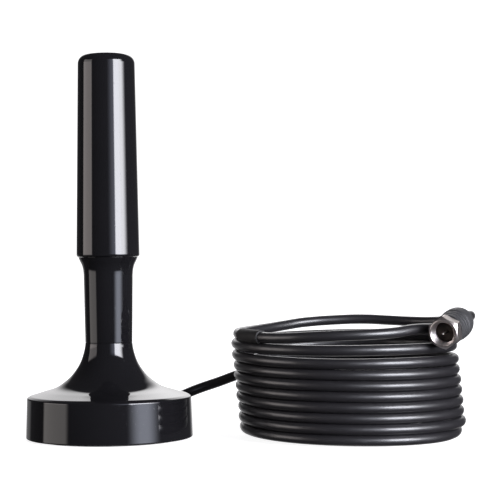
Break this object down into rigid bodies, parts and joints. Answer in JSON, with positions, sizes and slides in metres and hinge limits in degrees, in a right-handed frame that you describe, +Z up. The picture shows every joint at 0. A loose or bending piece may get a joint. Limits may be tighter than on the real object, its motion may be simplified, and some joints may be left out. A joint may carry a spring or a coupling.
{
  "type": "magnetic base cellular antenna",
  "caption": "Stub antenna of a cellular signal booster on a round magnetic foot, with its coaxial lead wound in a coil and ending in a threaded plug.",
  "frame": {"origin": "centre of the round foot's underside, on the surface it stands on", "axes": "+Z up along the mast, +X towards the coil of cable, -Y towards the viewer"},
  "size_m": [0.1786, 0.094, 0.152],
  "materials": {
    "gloss_black": "polished moulded black",
    "cable_jacket": "smooth PVC jacket with a soft sheen",
    "boot_rubber": "matte moulded dark grey",
    "seal_rubber": "matte black",
    "nickel": "bright nickel plate",
    "zinc_steel": "zinc plated",
    "magnet": "ground ferrite",
    "brass": "machined",
    "copper": "bare copper",
    "white_insulator": "white fluoropolymer",
    "dark_insulator": "dark brown moulded"
  },
  "bodies": {
    "base": {"base_shell": "gloss_black", "magnet_cup": "zinc_steel", "magnet_ring": "magnet", "foot_pad": "seal_rubber", "base_screw_1": "zinc_steel", "base_screw_2": "zinc_steel", "base_screw_3": "zinc_steel", "mast_stud": "brass", "stud_nut": "brass", "ground_tag": "nickel", "stud_insulator": "white_insulator", "stud_contact": "brass", "cable_clamp": "nickel", "clamp_screw_1": "zinc_steel", "clamp_screw_2": "zinc_steel", "feed_lead": "cable_jacket", "strain_relief": "seal_rubber", "cable_lead": "cable_jacket", "cable_coil": "cable_jacket", "cable_tail": "cable_jacket", "cable_band": "seal_rubber", "plug_body": "nickel", "plug_insulator": "dark_insulator", "centre_pin": "nickel", "plug_boot": "boot_rubber"},
    "seal": {"mast_seal": "seal_rubber"},
    "mast": {"mast_neck": "gloss_black", "radome_barrel": "gloss_black", "thread_insert": "brass", "contact_pin": "brass", "contact_spring": "zinc_steel", "mast_insulator": "white_insulator", "radiator_rod": "brass", "coil_former": "white_insulator", "loading_coil": "copper", "lower_spacer": "white_insulator", "upper_spacer": "white_insulator"},
    "nut": {"coupling_nut": "nickel"}
  },
  "joints": [
    {"name": "mast_lift", "type": "slide", "parent": "base", "child": "seal", "axis": [0, 0, 1], "range_m": [0, 0.0091]},
    {"name": "mast_turn", "type": "hinge", "parent": "seal", "child": "mast", "pos_m": [0, 0, 0.038], "axis": [0, 0, 1], "range_deg": [0, 2160]},
    {"name": "nut_spin", "type": "hinge", "parent": "base", "child": "nut", "pos_m": [0.1282, -0.036, 0.0419], "axis": [-0.3809, -0.9117, -0.154], "continuous": true}
  ],
  "couplings": [
    {"joint": "mast_lift", "follows": "mast_turn", "m_per_rad": 0.00023873}
  ]
}
